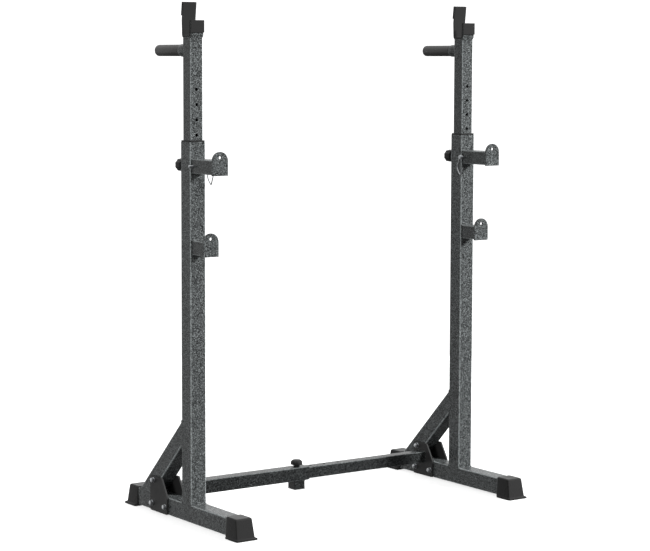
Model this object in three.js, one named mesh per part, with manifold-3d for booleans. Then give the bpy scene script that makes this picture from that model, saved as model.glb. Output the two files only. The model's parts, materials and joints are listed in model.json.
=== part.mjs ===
// Adjustable squat stand: two telescoping uprights on bolted bases, joined by a telescoping crossbar.
// Millimetres, +Z up. The user stands at -Y and the bracing and hand grips point to +Y.
// The origin is on the floor, below the middle of the whole stand.
import * as THREE from 'three';
import { mergeVertices } from 'three/addons/utils/BufferGeometryUtils.js';
import Module from 'manifold-3d';

const wasm = await Module();
wasm.setup();

// Points of an outline that are nearer than this are one point
const samePoint = 0.01;

// Spaces between pieces
const seat = 0.3; // between faces that are welded or bolted together
const slip = 0.3; // on each side of a piece that slides in a plastic guide
const holeSlip = 0.5; // on the radius, between a pin or a bolt and its hole
const overrun = 5; // by which a cutting tool passes the faces that it cuts

// Main frame tube, a square section
const tubeSide = 50;
const tubeWall = 2;
const tubeCorner = 4;
const standSpacing = 950; // between the axes of the two uprights

// Base tube
const baseLift = 5.5; // underside above the floor
const baseFrontReach = 250; // tube end in front of the upright's axis
const baseTail = 53.5; // tube end behind the brace's foot
const baseTop = baseLift + tubeSide;

// Brace between the upright and the base, at 45 degrees
const braceTopHeight = 285; // where its upper edge meets the upright
const braceCentre = tubeSide / 2 + braceTopHeight - tubeSide * Math.SQRT1_2; // behind plus above
const braceFoot = tubeSide / 2 + braceTopHeight - baseTop; // where its upper edge meets the base
const baseRearReach = braceFoot + baseTail; // tube end behind the upright's axis

// Moulded foot boots
const footLength = 67.5;
const footPocketShare = 0.66; // part of the boot's length that the tube fills
const flangeWidth = 68;
const flangeLength = 61.5;
const flangeThickness = 4.5; // at its rim
const flangeRise = 3; // how much higher it meets the boot
const flangeTuck = 0.3; // how far its sloping top runs into the boot
const bootTopWidth = 53;
const bootBottomWidth = 59;
const bootToeSlope = 9; // how far the toe leans out from top to bottom
const bootToeLip = 7; // flange in front of the toe
const bootRoof = 3.5; // plastic above the tube
const bootCorner = 5;
const bootEdgeSteps = 3;
const footReachFront = baseFrontReach + footLength * (1 - footPocketShare);
const footReachRear = baseRearReach + footLength * (1 - footPocketShare);
const uprightY = (footReachFront - footReachRear) / 2; // puts the origin midway between the boots

// Upright and its guide sleeve
const uprightTop = 1062;
const sleeveFlange = 4;
const sleeveInset = 0.5; // flange edge behind the tube's face
const sleeveDepth = 45;

// Sliding post
const postSide = 40;
const postWall = 2;
const postCorner = 3;
const latchDrop = 65.5; // axis of the spring plunger and of the upper arm, below the upright's top
const latchHeight = uprightTop - latchDrop;
const holePitch = 42;
const holesBelow = 1;
const holesAbove = 5;
const holeDiameter = 9;
const postTail = 30; // post below its lowest hole
const postHead = 138.2; // post above its highest hole
const postTop = latchHeight + holesAbove * holePitch + postHead;

// Bar cup, a bent flat bar
const cupWidth = 40;
const cupThickness = 4;
const cupDepth = 48; // over both legs
const cupBend = 8; // radius of the bends, at mid thickness
const cupFrontHeight = 46;
const cupRearHeight = 96;
const cupKinkHeight = 50; // where the rear leg starts to lean forward
const cupKinkOut = 1.5; // how far the rear leg leans back up to there
const cupLean = 4; // how far its tip leans forward, measured from the bend

// Plastic liner of the cup
const linerWidth = 42.6;
const linerThickness = 2.6;
const linerSlip = 0.3;
const linerFrontLap = 31; // length of the lip down the outside of the front leg
const linerRearLap = 36; // length of the lip down the outside of the rear leg

// Hand grip on the back of the post
const gripDrop = 32.7; // axis below the post's top
const gripHeight = postTop - gripDrop;
const collarDiameter = 36;
const collarLength = 32;
const coreDiameter = 25;
const coreWall = 2;
const gripDiameter = 32.5;
const gripLength = 128;
const gripEndWall = 4;
const gripRounding = 4;
const gripSlip = 0.3;

// Arms, square tube with an end plate
const armSide = 40;
const armWall = 2;
const armCorner = 3;
const upperArmReach = 114.7; // front of the end plate, in front of the upright's face
const lowerArmReach = 67;
const armSpacing = 223.5; // between the axes of the two arms
const armPlateWidth = 50;
const armPlateHeight = 65;
const armPlateThickness = 5;
const armPlateDrop = 2; // plate below the arm's underside
const armPlateHoleHeight = 49.3; // above the plate's lower edge
const armPlateHole = 9;
const stubWall = 2;
const stubCorner = 2.5;
const stubSlip = 0.4;
const stubLength = 52;

// Lock pin of the upper arm and its wire clip
const pinDiameter = 8;
const pinSetback = 8.5; // axis in front of the upright's face
const pinTipReach = 34; // tip beyond the upright's axis, on the outer side
const pinTipChamfer = 1;
const pinShoulder = 12; // diameter of the shoulder and of the head
const pinShoulderThickness = 2;
const wireDiameter = 3;
const wireReach = 34; // plane of the wire beyond the upright's axis, on the inner side
const wireSlip = 0.4;
const wireLength = 51; // from the pin's axis down to the lowest bend
const wireBendShares = [ // places of the wire's bends below the pin, as shares of its length
  { back: 0.2, down: 0.3 },
  { back: 0.3, down: 0.47 },
  { back: 0.3, down: 0.62 },
  { back: 0.2, down: 0.82 },
  { back: 0.05, down: 1 },
  { back: -0.02, down: 0.97 },
  { back: -0.14, down: 0.76 },
  { back: -0.24, down: 0.6 },
];
const leftWireSwing = -Math.PI / 25; // the left clip hangs a little further forward

// Spring plunger on the back of the upright
const plungerDiameter = 8;
const plungerTipDepth = 7; // tip inside the post's rear face
const plungerCollarDiameter = 12;
const plungerCollarThickness = 2.5;
const plungerCollarGap = 1; // between the upright and the collar
const housingDiameter = 20;
const housingLength = 30;
const housingBore = 14;
const housingEndWall = 3;
const springWire = 1.2;
const springDiameter = 10.6; // at the middle of the wire
const springCurls = 7;
const knobGap = 1; // between the housing and the knob, at the side and at the end
const knobDiameter = 37;
const knobLength = 25;
const knobSkirt = 12; // length by which the knob covers the housing
const knobLobes = 9;
const knobLobeDepth = 1.2;
const knobRounding = 3.5;
const knobPinDepth = 8; // pin inside the knob's solid end

// Gusset plates, on both sides of the brace's foot, and the places of their bolts
const gussetThickness = 5;
const gussetWidth = 92;
const gussetLift = 0.5; // lower edge above the base tube's underside
const gussetShoulderRise = 1.5; // front shoulder above the base tube's top
const gussetCut = 30; // sloped corner, measured along the top
const gussetCorner = 3;
const gussetFace = tubeSide / 2 + seat;
const lowerBoltEdge = 10; // lower bolts, from the front and rear edges
const lowerBoltRise = 22; // above the base tube's underside
const lowerBoltHeight = baseLift + lowerBoltRise;
const braceBoltRise = 39; // above the base tube's top
const braceBoltDrop = 10; // in front of the brace's middle line
const braceBoltEdge = 18; // from the plate's rear edge
const braceBoltTopEdge = 11.5; // from the plate's top edge
const braceBoltHeight = baseTop + braceBoltRise;
const braceBoltPlace = braceCentre - braceBoltDrop - braceBoltHeight;
const gussetRear = braceBoltPlace + braceBoltEdge; // behind the upright's axis
const gussetFront = gussetRear - gussetWidth;
const gussetTop = braceBoltHeight + braceBoltTopEdge;
const boltPlaces = [ // behind the upright's axis, and above the floor
  { name: 'front', behind: gussetFront + lowerBoltEdge, above: lowerBoltHeight },
  { name: 'rear', behind: gussetRear - lowerBoltEdge, above: lowerBoltHeight },
  { name: 'brace', behind: braceBoltPlace, above: braceBoltHeight },
];

// Bolts through the gusset plates
const boltDiameter = 8;
const boltHeadFlats = 13;
const boltHeadHeight = 5.5;
const nutHeight = 6.5;
const boltTail = 3;
const washerDiameter = 16;
const washerThickness = 1.6;

// Crossbar
const barSide = 40;
const barWall = 1.5;
const barCorner = 3;
const barSetback = 51; // axis behind the gusset plates' front edge
const barRise = 8.5; // axis above the base tubes' top
const barBehind = gussetFront + barSetback; // axis behind the uprights' axis
const barHeight = baseTop + barRise;
const barOuterEnd = 3; // free end of the outer tube, right of the middle
const barSleeveFlange = 3.5;
const barSleeveInset = 0.5; // flange edge inside the outer tube's edge
const barSleeveDepth = 16;
const barSleeveWall = 0.9;
const barInnerWall = 2;
const barInnerCorner = 2.5;
const barInnerEnd = -215; // hidden end of the inner tube
const barPitch = 50;
const barHolesEachWay = 3;
const barBoltPlace = -27; // left of the middle
const barBoltDiameter = 8;
const barBoltTail = 4; // bolt end above the block's underside
const barKnobDiameter = 35.5;
const barKnobHeight = 20.5;
const barKnobLobes = 7;
const barKnobLobeDepth = 1.2;
const barKnobRounding = 9;
const barKnobHubDiameter = 18;
const barKnobHubLength = 5.5; // hub between the tube and the knob's wide part
const barKnobBoltDepth = 12;
const nutBlockWidth = 36;
const nutBlockBottom = 18;
const nutBlockCorner = 1.5;

// Paints and materials
const framePaint = { color: 0x5c605f, roughness: 0.45, metalness: 0.6 };
const barPaint = { color: 0x434746, roughness: 0.45, metalness: 0.6 }; // the crossbar looks darker
const platePaint = { color: 0x3b3c3c, roughness: 0.4, metalness: 0.3 };
const blackPlastic = { color: 0x2e2f30, roughness: 0.5, metalness: 0 };
const gripRubber = { color: 0x353637, roughness: 0.65, metalness: 0 };
const zincPlate = { color: 0xc9cccd, roughness: 0.25, metalness: 1 };

// A closed geometry as a solid that can be joined and cut.
function toSolid(geometry) {
  const bare = geometry.clone();
  bare.deleteAttribute('normal');
  bare.deleteAttribute('uv');
  const merged = mergeVertices(bare);
  const mesh = new wasm.Mesh({
    numProp: 3,
    vertProperties: Float32Array.from(merged.attributes.position.array),
    triVerts: Uint32Array.from(merged.index.array),
  });
  return new wasm.Manifold(mesh);
}

// A solid back as a geometry.
function toGeometry(solid) {
  const mesh = solid.getMesh();
  const geometry = new THREE.BufferGeometry();
  geometry.setAttribute('position', new THREE.BufferAttribute(mesh.vertProperties, 3));
  geometry.setIndex(new THREE.BufferAttribute(mesh.triVerts, 1));
  geometry.computeVertexNormals();
  return geometry;
}

function cut(body, ...tools) {
  let solid = toSolid(body);
  for (const tool of tools) {
    solid = solid.subtract(toSolid(tool));
  }
  return toGeometry(solid);
}

function join(first, ...others) {
  let solid = toSolid(first);
  for (const other of others) {
    solid = solid.add(toSolid(other));
  }
  return toGeometry(solid);
}

function common(first, second) {
  return toGeometry(toSolid(first).intersect(toSolid(second)));
}

// A rectangle with rounded corners, centred on the origin.
function roundedRectangle(width, height, radius) {
  const right = width / 2 - radius;
  const top = height / 2 - radius;
  const shape = new THREE.Shape();
  shape.absarc(right, top, radius, 0, Math.PI / 2);
  shape.absarc(-right, top, radius, Math.PI / 2, Math.PI);
  shape.absarc(-right, -top, radius, Math.PI, 1.5 * Math.PI);
  shape.absarc(right, -top, radius, 1.5 * Math.PI, 2 * Math.PI);
  shape.closePath();
  return shape;
}

// A polygon whose corners are rounded off by the given length.
function roundedPolygon(corners, radius) {
  const shape = new THREE.Shape();
  corners.forEach((corner, i) => {
    const before = corners[(i + corners.length - 1) % corners.length];
    const after = corners[(i + 1) % corners.length];
    const start = before.clone().sub(corner).setLength(radius).add(corner);
    const end = after.clone().sub(corner).setLength(radius).add(corner);
    if (i === 0) {
      shape.moveTo(start.x, start.y);
    } else {
      shape.lineTo(start.x, start.y);
    }
    shape.quadraticCurveTo(corner.x, corner.y, end.x, end.y);
  });
  shape.closePath();
  return shape;
}

// A shape drawn out along +Z from the origin.
function drawOut(shape, length, curveSegments = 4) {
  return new THREE.ExtrudeGeometry(shape, { depth: length, bevelEnabled: false, curveSegments });
}

// Turns a piece that was drawn along +Z, so that it runs along +X or +Y.
function alongX(geometry) {
  return geometry.rotateY(Math.PI / 2);
}

function alongY(geometry) {
  return geometry.rotateX(-Math.PI / 2);
}

// Turns a piece drawn in a side view, across +Y and up +Z, with its thickness along +X.
function inSideView(geometry) {
  const turn = new THREE.Matrix4().makeBasis(
    new THREE.Vector3(0, 1, 0),
    new THREE.Vector3(0, 0, 1),
    new THREE.Vector3(1, 0, 0),
  );
  return geometry.applyMatrix4(turn);
}

// Turns a piece drawn in a front view, across +X and up +Z, with its thickness along -Y.
function inFrontView(geometry) {
  return geometry.rotateX(Math.PI / 2);
}

// A square tube along +Z from the origin.
function squareTube(side, wall, corner, length) {
  const section = roundedRectangle(side, side, corner);
  section.holes.push(roundedRectangle(side - 2 * wall, side - 2 * wall, corner - wall));
  return drawOut(section, length);
}

// A round rod along +Z, centred on the origin.
function rod(diameter, length, sides = 16) {
  return new THREE.CylinderGeometry(diameter / 2, diameter / 2, length, sides).rotateX(Math.PI / 2);
}

// A hexagon prism along +Z from the origin, given by the width across its flats.
function hexagon(flats, height) {
  const radius = flats / Math.sqrt(3);
  const prism = new THREE.CylinderGeometry(radius, radius, height, 6).rotateX(Math.PI / 2);
  return prism.translate(0, 0, height / 2);
}

// A turned piece along +Z. The profile lists radius and place from the bottom up.
function turned(profile, sides = 24) {
  const points = profile.map(([radius, place]) => new THREE.Vector2(radius, place));
  return new THREE.LatheGeometry(points, sides).rotateX(Math.PI / 2);
}

// Leaves out the points that repeat the one before them.
function withoutRepeats(points) {
  return points.filter((point, i) => i === 0 || point.distanceTo(points[i - 1]) > samePoint);
}

// A strip of even thickness that follows a line of points.
function strip(line, thickness) {
  const points = withoutRepeats(line);
  const sides = [[], []];
  points.forEach((point, i) => {
    const before = points[Math.max(i - 1, 0)];
    const after = points[Math.min(i + 1, points.length - 1)];
    const arriving = point.clone().sub(before).normalize();
    const leaving = after.clone().sub(point).normalize();
    const along = arriving.clone().add(leaving).normalize();
    const spread = thickness / 2 / Math.max(along.dot(leaving), along.dot(arriving));
    const across = new THREE.Vector2(-along.y, along.x).multiplyScalar(spread);
    sides[0].push(point.clone().add(across));
    sides[1].unshift(point.clone().sub(across));
  });
  return new THREE.Shape(sides.flat());
}

// A tube of round section along a curve.
function wire(curve, diameter, steps, sides) {
  const section = new THREE.Shape();
  section.absarc(0, 0, diameter / 2, 0, 2 * Math.PI);
  return new THREE.ExtrudeGeometry(section, {
    extrudePath: curve,
    steps,
    curveSegments: sides / 2,
    bevelEnabled: false,
  });
}

// A knob with round lobes, along +Z from the origin, domed at its far end. It may stand on a round hub.
function lobedKnob(diameter, length, lobes, lobeDepth, rounding, hubDiameter = 0, hubLength = 0) {
  const layers = [
    { inset: rounding / 4, place: hubLength },
    { inset: 0, place: hubLength + rounding / 4 },
  ];
  const domeSteps = 4;
  for (let i = 0; i <= domeSteps; i += 1) {
    const angle = (i / domeSteps) * (Math.PI / 2);
    layers.push({
      inset: rounding * (1 - Math.cos(angle)),
      place: length - rounding * (1 - Math.sin(angle)),
    });
  }
  if (hubLength > 0) {
    layers.unshift({ radius: hubDiameter / 2, place: 0 }, { radius: hubDiameter / 2, place: hubLength });
  }
  const around = lobes * 6;
  const positions = [];
  const triangles = [];
  for (const layer of layers) {
    for (let i = 0; i < around; i += 1) {
      const angle = (2 * Math.PI * i) / around;
      const lobed = diameter / 2 - layer.inset - (lobeDepth * (1 - Math.cos(lobes * angle))) / 2;
      const radius = layer.radius ?? lobed;
      positions.push(radius * Math.cos(angle), radius * Math.sin(angle), layer.place);
    }
  }
  const bottom = layers.length * around;
  positions.push(0, 0, 0);
  positions.push(0, 0, length);
  for (let i = 0; i < around; i += 1) {
    const next = (i + 1) % around;
    triangles.push(bottom, next, i);
    for (let layer = 0; layer < layers.length - 1; layer += 1) {
      const low = layer * around;
      const high = low + around;
      triangles.push(low + i, low + next, high + next);
      triangles.push(low + i, high + next, high + i);
    }
    const last = (layers.length - 1) * around;
    triangles.push(last + i, last + next, bottom + 1);
  }
  const geometry = new THREE.BufferGeometry();
  geometry.setAttribute('position', new THREE.Float32BufferAttribute(positions, 3));
  geometry.setIndex(triangles);
  geometry.computeVertexNormals();
  return geometry;
}

// A named piece with its own material, placed in its group.
function piece(group, name, geometry, look, x, y, z) {
  const mesh = new THREE.Mesh(geometry, new THREE.MeshStandardMaterial(look));
  mesh.name = name;
  mesh.position.set(x, y, z);
  group.add(mesh);
  return mesh;
}

// Base tube along +Y, with the holes of the two lower bolts.
function baseTube() {
  const body = alongY(squareTube(tubeSide, tubeWall, tubeCorner, baseFrontReach + baseRearReach));
  const holes = boltPlaces
    .filter((place) => place.above < baseTop)
    .map((place) => alongX(rod(boltDiameter + 2 * holeSlip, tubeSide + 2 * overrun))
      .translate(0, baseFrontReach + place.behind, place.above - baseLift - tubeSide / 2));
  return cut(body, ...holes);
}

// Moulded boot on an end of the base tube, drawn with its toe at -Y and its mouth at +Y.
// Its frame is on the floor, at the tip of its flange.
function footBoot() {
  const skirtTop = flangeThickness + flangeRise;
  const flange = [
    { width: flangeWidth, toe: 0, mouth: flangeLength, height: 0 },
    { width: flangeWidth, toe: 0, mouth: flangeLength, height: flangeThickness },
    {
      width: bootBottomWidth - 2 * flangeTuck,
      toe: bootToeLip + flangeTuck,
      mouth: flangeLength - flangeTuck,
      height: skirtTop,
    },
  ];
  const body = [
    { width: bootBottomWidth, toe: bootToeLip, mouth: footLength, height: flangeThickness / 2 },
    { width: bootBottomWidth, toe: bootToeLip, mouth: footLength, height: skirtTop },
  ];
  for (let i = 0; i <= bootEdgeSteps; i += 1) {
    const angle = Math.PI / 2 * i / bootEdgeSteps;
    const inset = bootCorner * (1 - Math.cos(angle));
    body.push({
      width: bootTopWidth - 2 * inset,
      toe: bootToeLip + bootToeSlope + inset,
      mouth: footLength,
      height: baseTop + bootRoof - bootCorner * (1 - Math.sin(angle)),
    });
  }
  const pieces = [];
  for (const rings of [flange, body]) {
    for (let i = 0; i < rings.length - 1; i += 1) {
      pieces.push(loft(bootRing(rings[i]), bootRing(rings[i + 1])));
    }
  }
  const pocketLength = footLength * footPocketShare + seat;
  const pocket = alongY(drawOut(
    roundedRectangle(tubeSide + 2 * seat, tubeSide + 2 * seat, tubeCorner),
    pocketLength + overrun,
  )).translate(0, footLength - pocketLength, baseLift + tubeSide / 2);
  return cut(join(...pieces), pocket);
}

// One level of the boot's outline, with rounded corners.
function bootRing({ width, toe, mouth, height }) {
  const outline = roundedPolygon([
    new THREE.Vector2(-width / 2, toe),
    new THREE.Vector2(width / 2, toe),
    new THREE.Vector2(width / 2, mouth),
    new THREE.Vector2(-width / 2, mouth),
  ], bootCorner);
  return outline.extractPoints(2).shape.map((point) => new THREE.Vector3(point.x, point.y, height));
}

// A closed solid between two rings of as many points, the lower one first.
function loft(low, high) {
  const positions = [];
  const triangles = [];
  const rings = [low, high].map((ring) => {
    const closed = ring[0].distanceTo(ring[ring.length - 1]) < samePoint;
    return closed ? ring.slice(0, -1) : ring;
  });
  const count = rings[0].length;
  for (const ring of rings) {
    for (const point of ring) {
      positions.push(point.x, point.y, point.z);
    }
  }
  for (const ring of rings) {
    const middle = new THREE.Vector3();
    for (const point of ring) {
      middle.add(point);
    }
    middle.divideScalar(count);
    positions.push(middle.x, middle.y, middle.z);
  }
  for (let i = 0; i < count; i += 1) {
    const next = (i + 1) % count;
    triangles.push(i, next, count + next);
    triangles.push(i, count + next, count + i);
    triangles.push(2 * count, next, i);
    triangles.push(2 * count + 1, count + i, count + next);
  }
  const geometry = new THREE.BufferGeometry();
  geometry.setAttribute('position', new THREE.Float32BufferAttribute(positions, 3));
  geometry.setIndex(triangles);
  geometry.computeVertexNormals();
  return geometry;
}

// Upright tube along +Z, with the plunger's hole in its rear wall.
function uprightTube() {
  const length = uprightTop - baseTop - seat;
  const hole = alongY(rod(plungerDiameter + 2 * holeSlip, tubeWall + 2 * overrun))
    .translate(0, tubeSide / 2, latchHeight - baseTop - seat);
  return cut(squareTube(tubeSide, tubeWall, tubeCorner, length), hole);
}

// Plastic guide in the mouth of the upright, with its flange on top. Its frame is at the mouth.
function uprightSleeve() {
  const mouth = postSide + 2 * slip;
  const flangeSection = roundedRectangle(tubeSide - 2 * sleeveInset, tubeSide - 2 * sleeveInset, tubeCorner);
  const collarSide = tubeSide - 2 * tubeWall - 2 * seat;
  const collarSection = roundedRectangle(collarSide, collarSide, tubeCorner - tubeWall);
  const bore = drawOut(roundedRectangle(mouth, mouth, postCorner), sleeveDepth + sleeveFlange + 2 * overrun)
    .translate(0, 0, -sleeveDepth - overrun);
  const flange = drawOut(flangeSection, sleeveFlange).translate(0, 0, seat);
  const collar = drawOut(collarSection, sleeveDepth + 2 * seat).translate(0, 0, -sleeveDepth);
  return cut(join(flange, collar), bore);
}

// Brace tube at 45 degrees, mitred on the upright and on the base. It is in the stand's frame.
function braceTube() {
  const length = 2 * braceTopHeight;
  const hole = boltPlaces.find((place) => place.above > baseTop);
  const middle = braceCentre / 2;
  const body = squareTube(tubeSide, tubeWall, tubeCorner, length)
    .translate(0, 0, -length / 2)
    .rotateX(Math.PI / 4)
    .translate(0, middle, middle);
  const corner = braceTopHeight + tubeSide;
  const room = new THREE.BoxGeometry(tubeSide + 2 * overrun, corner, corner)
    .translate(0, corner / 2 + tubeSide / 2 + seat, corner / 2 + baseTop + seat);
  const bolt = alongX(rod(boltDiameter + 2 * holeSlip, tubeSide + 2 * overrun))
    .translate(0, hole.behind, hole.above);
  return cut(common(body, room), bolt);
}

// Gusset plate in the stand's side view, with its thickness along +X.
function gussetPlate() {
  const bottom = baseLift + gussetLift;
  const outline = roundedPolygon([
    new THREE.Vector2(gussetFront, bottom),
    new THREE.Vector2(gussetRear, bottom),
    new THREE.Vector2(gussetRear, gussetTop),
    new THREE.Vector2(gussetFront + gussetCut, gussetTop),
    new THREE.Vector2(gussetFront, baseTop + gussetShoulderRise),
  ], gussetCorner);
  const holes = boltPlaces.map((place) => alongX(rod(boltDiameter + 2 * holeSlip, 4 * gussetThickness))
    .translate(0, place.behind, place.above));
  return cut(inSideView(drawOut(outline, gussetThickness, 3)), ...holes);
}

// Bolt with its washers and nut, along X, with its head at +X. Its frame is midway between the plates.
function gussetBolt() {
  const grip = 2 * (gussetFace + gussetThickness + seat);
  const shankLength = grip + 2 * washerThickness + nutHeight + boltTail;
  const shank = rod(boltDiameter, shankLength).translate(0, 0, grip / 2 + washerThickness - shankLength / 2);
  const washers = [1, -1].map((end) => rod(washerDiameter, washerThickness, 20)
    .translate(0, 0, (end * (grip + washerThickness)) / 2));
  const head = hexagon(boltHeadFlats, boltHeadHeight).translate(0, 0, grip / 2 + washerThickness);
  const nut = hexagon(boltHeadFlats, nutHeight).translate(0, 0, -grip / 2 - washerThickness - nutHeight);
  return alongX(join(shank, ...washers, head, nut));
}

// Arm tube along -Y, drawn from the upright's face, with holes for a pin where one is asked for.
function armTube(reach, pinned) {
  const length = reach - armPlateThickness - 2 * seat;
  const body = alongY(squareTube(armSide, armWall, armCorner, length)).translate(0, -length - seat, 0);
  if (!pinned) {
    return body;
  }
  return cut(body, pinHole(armSide).translate(0, -pinSetback, 0));
}

function pinHole(width) {
  return alongX(rod(pinDiameter + 2 * holeSlip, width + 2 * overrun));
}

// End plate of an arm, with a round top and a hole. Its frame is at its lower edge, on its rear face.
function armPlate() {
  const outline = new THREE.Shape();
  const radius = armPlateWidth / 2;
  outline.moveTo(-radius, 0);
  outline.lineTo(radius, 0);
  outline.lineTo(radius, armPlateHeight - radius);
  outline.absarc(0, armPlateHeight - radius, radius, 0, Math.PI);
  outline.closePath();
  const hole = new THREE.Path();
  hole.absarc(0, armPlateHoleHeight, armPlateHole / 2, 0, 2 * Math.PI);
  outline.holes.push(hole);
  return inFrontView(drawOut(outline, armPlateThickness, 8));
}

// Stub on the upright, which the upper arm slips over.
function armStub() {
  const side = armSide - 2 * armWall - 2 * stubSlip;
  const body = alongY(squareTube(side, stubWall, stubCorner, stubLength)).translate(0, -stubLength - seat, 0);
  return cut(body, pinHole(side).translate(0, -pinSetback, 0));
}

// Lock pin along +X, with its tip at -X. Two shoulders hold the wire clip between them.
function lockPin() {
  const radius = pinDiameter / 2;
  const shoulder = pinShoulder / 2;
  const wireSpace = wireDiameter / 2 + wireSlip;
  const inner = wireReach - wireSpace;
  const outer = wireReach + wireSpace;
  return alongX(turned([
    [0, -pinTipReach],
    [radius - pinTipChamfer, -pinTipReach],
    [radius, -pinTipReach + pinTipChamfer],
    [radius, inner - pinShoulderThickness],
    [shoulder, inner - pinShoulderThickness],
    [shoulder, inner],
    [radius, inner],
    [radius, outer],
    [shoulder, outer],
    [shoulder, outer + pinShoulderThickness],
    [0, outer + pinShoulderThickness],
  ], 16));
}

// Wire clip in a side view: an eye round the pin, a bow and a free hook.
function pinWire() {
  const eye = pinDiameter / 2 + wireSlip + wireDiameter / 2;
  const points = [];
  const turns = 9;
  const start = (290 * Math.PI) / 180;
  const end = (20 * Math.PI) / 180;
  for (let i = 0; i <= turns; i += 1) {
    const angle = start + ((end - start) * i) / turns;
    points.push(new THREE.Vector3(0, eye * Math.cos(angle), eye * Math.sin(angle)));
  }
  for (const share of wireBendShares) {
    points.push(new THREE.Vector3(0, share.back * wireLength, -share.down * wireLength));
  }
  const curve = new THREE.CatmullRomCurve3(points, false, 'catmullrom', 0.4);
  return wire(curve, wireDiameter, 44, 6);
}

// Post tube along +Z, with its row of holes through the front and rear walls.
function postTube(bottom) {
  const holes = [];
  for (let i = -holesBelow; i <= holesAbove; i += 1) {
    holes.push(alongY(rod(holeDiameter, postSide + 2 * overrun))
      .translate(0, 0, latchHeight + i * holePitch - bottom));
  }
  return cut(squareTube(postSide, postWall, postCorner, postTop - bottom), ...holes);
}

// Line of the cup's bent bar at mid thickness, in a side view, from its front tip to its rear tip.
function cupLine() {
  const half = (cupDepth - cupThickness) / 2;
  const low = cupThickness / 2;
  const line = new THREE.Path();
  line.moveTo(-half, cupFrontHeight);
  line.lineTo(-half, low + cupBend);
  line.absarc(-half + cupBend, low + cupBend, cupBend, Math.PI, 1.5 * Math.PI);
  line.lineTo(half - cupBend, low);
  line.absarc(half - cupBend, low + cupBend, cupBend, -Math.PI / 2, 0);
  line.lineTo(half + cupKinkOut, cupKinkHeight);
  line.lineTo(half - cupLean, cupRearHeight);
  return line;
}

function barCup() {
  const shape = strip(cupLine().getPoints(3), cupThickness);
  return inSideView(drawOut(shape, cupWidth)).translate(-cupWidth / 2, 0, 0);
}

// Liner: one strip that hooks over both legs of the cup and lines the space for the bar.
function cupLiner() {
  const half = (cupDepth - cupThickness) / 2;
  const away = cupThickness / 2 + linerSlip + linerThickness / 2;
  const low = cupThickness / 2 + away;
  const bend = cupBend - away;
  const lean = new THREE.Vector2(-cupLean - cupKinkOut, cupRearHeight - cupKinkHeight).normalize();
  const out = new THREE.Vector2(lean.y, -lean.x);
  const tip = new THREE.Vector2(half - cupLean, cupRearHeight);
  const overTip = tip.clone().addScaledVector(lean, linerSlip + linerThickness / 2);
  const inner = overTip.clone().addScaledVector(out, -away);
  const outer = overTip.clone().addScaledVector(out, away);
  const hook = outer.clone().addScaledVector(lean, -linerRearLap);
  const line = new THREE.Path();
  line.moveTo(-half - away, cupFrontHeight - linerFrontLap);
  line.lineTo(-half - away, cupFrontHeight + linerSlip + linerThickness / 2);
  line.lineTo(-half + away, cupFrontHeight + linerSlip + linerThickness / 2);
  line.lineTo(-half + away, low + bend);
  line.absarc(-half + away + bend, low + bend, bend, Math.PI, 1.5 * Math.PI);
  line.lineTo(half - away - bend, low);
  line.absarc(half - away - bend, low + bend, bend, -Math.PI / 2, 0);
  line.lineTo(half + cupKinkOut - away, cupKinkHeight);
  line.lineTo(inner.x, inner.y);
  line.lineTo(outer.x, outer.y);
  line.lineTo(hook.x, hook.y);
  const shape = strip(line.getPoints(3), linerThickness);
  return inSideView(drawOut(shape, linerWidth)).translate(-linerWidth / 2, 0, 0);
}

// Hand grip's core tube along +Y from the post's rear face, with its wide collar first.
function handleBar() {
  const coreEnd = collarLength + gripLength - gripEndWall - gripSlip;
  const bore = coreDiameter / 2 - coreWall;
  return alongY(turned([
    [bore, 0],
    [collarDiameter / 2, 0],
    [collarDiameter / 2, collarLength],
    [coreDiameter / 2, collarLength],
    [coreDiameter / 2, coreEnd],
    [bore, coreEnd],
    [bore, 0],
  ]));
}

// Grip sleeve along +Y, closed and rounded at its far end. Its frame is at its open end.
function handleGrip() {
  const radius = gripDiameter / 2;
  const bore = coreDiameter / 2 + gripSlip;
  return alongY(turned([
    [0, gripLength - gripEndWall],
    [bore, gripLength - gripEndWall],
    [bore, 0],
    [radius, 0],
    [radius, gripLength - gripRounding],
    [radius - gripRounding * (1 - Math.SQRT1_2), gripLength - gripRounding * (1 - Math.SQRT1_2)],
    [radius - gripRounding, gripLength],
    [0, gripLength],
  ]));
}

// Plunger housing along +Y from the upright's rear face: a cup with a hole in its far end.
function plungerHousing() {
  const radius = housingDiameter / 2;
  const bore = housingBore / 2;
  const hole = plungerDiameter / 2 + holeSlip;
  return alongY(turned([
    [bore, 0],
    [radius, 0],
    [radius, housingLength],
    [hole, housingLength],
    [hole, housingLength - housingEndWall],
    [bore, housingLength - housingEndWall],
    [bore, 0],
  ], 20));
}

// Plunger pin along +Y. Its frame is on the upright's rear face.
function plungerPin() {
  const radius = plungerDiameter / 2;
  const tip = (postSide - tubeSide) / 2 - plungerTipDepth;
  const collar = plungerCollarDiameter / 2;
  const end = seat + housingLength + knobGap + knobPinDepth;
  return alongY(turned([
    [0, tip],
    [radius, tip],
    [radius, plungerCollarGap],
    [collar, plungerCollarGap],
    [collar, plungerCollarGap + plungerCollarThickness],
    [radius, plungerCollarGap + plungerCollarThickness],
    [radius, end],
    [0, end],
  ], 16));
}

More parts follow.
